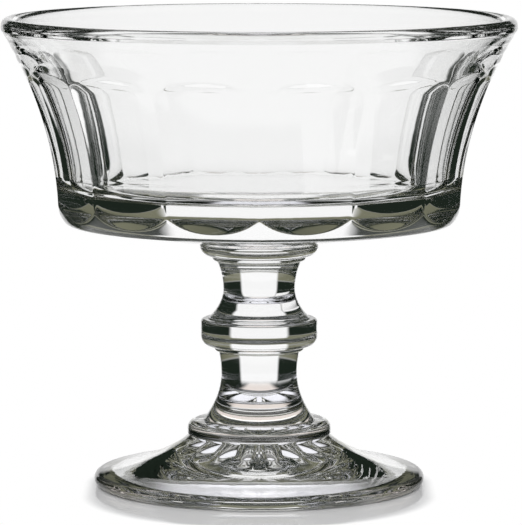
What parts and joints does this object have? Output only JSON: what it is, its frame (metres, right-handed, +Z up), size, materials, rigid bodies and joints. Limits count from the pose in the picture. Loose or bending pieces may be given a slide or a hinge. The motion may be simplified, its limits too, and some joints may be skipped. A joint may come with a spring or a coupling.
{
  "type": "dessert bowl",
  "caption": "Footed dessert bowl in clear pressed glass: a flared bowl with flat arched panels on a waisted stem with a knop, and a conical foot.",
  "frame": {"origin": "on the axis of the bowl, at the surface that the foot stands on", "axes": "+Z up along the axis of the bowl and stem; the ribs between panels fall on -Y and +Y, -Y facing the viewer"},
  "size_m": [0.11, 0.11, 0.1005],
  "materials": {
    "clear_glass": "fire-polished clear glass with a faint green-grey tint"
  },
  "bodies": {
    "root": {"foot": "clear_glass", "lower_merese": "clear_glass", "lower_stem": "clear_glass", "knop": "clear_glass", "upper_stem": "clear_glass", "upper_merese": "clear_glass", "bowl": "clear_glass"}
  },
  "joints": []
}
